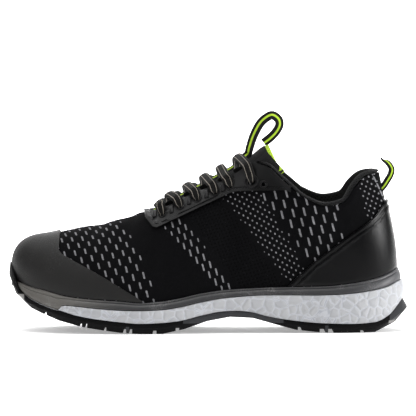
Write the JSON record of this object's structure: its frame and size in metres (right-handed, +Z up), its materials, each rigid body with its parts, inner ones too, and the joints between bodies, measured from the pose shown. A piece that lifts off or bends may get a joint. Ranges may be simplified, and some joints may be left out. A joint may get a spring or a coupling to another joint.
{
  "type": "safety sneaker",
  "caption": "Low lace-up safety sneaker, left shoe, with knit upper, toe guard, heel counter, foam midsole, pull loops and lugged outsole.",
  "frame": {"origin": "bottom centre of the shoe's box, on the floor it stands on", "axes": "+X from toe to heel, +Y from the outer to the inner side, +Z up"},
  "size_m": [0.304, 0.1066, 0.1642],
  "materials": {
    "outsole_rubber": "moulded rubber",
    "foam": "moulded bead foam",
    "rim_plastic": "satin",
    "lining_cloth": "mesh cloth",
    "knit": "knit",
    "guard_rubber": "matt grain",
    "smooth_plastic": "satin film",
    "webbing": "woven tape",
    "lace": "flat woven lace"
  },
  "bodies": {
    "root": {"outsole": "outsole_rubber", "midsole_foam": "foam", "midsole_rim": "rim_plastic", "insole": "lining_cloth", "upper": "knit", "toe_guard": "guard_rubber", "heel_counter": "smooth_plastic", "eyestay_outer": "smooth_plastic", "eyestay_inner": "smooth_plastic", "tongue": "knit", "collar_padding": "lining_cloth", "tongue_tape": "webbing", "heel_loop": "webbing", "lace_bar_1": "lace", "lace_cross_1": "lace", "lace_cross_2": "lace", "lace_cross_3": "lace", "lace_cross_4": "lace", "lace_cross_5": "lace"}
  },
  "joints": []
}
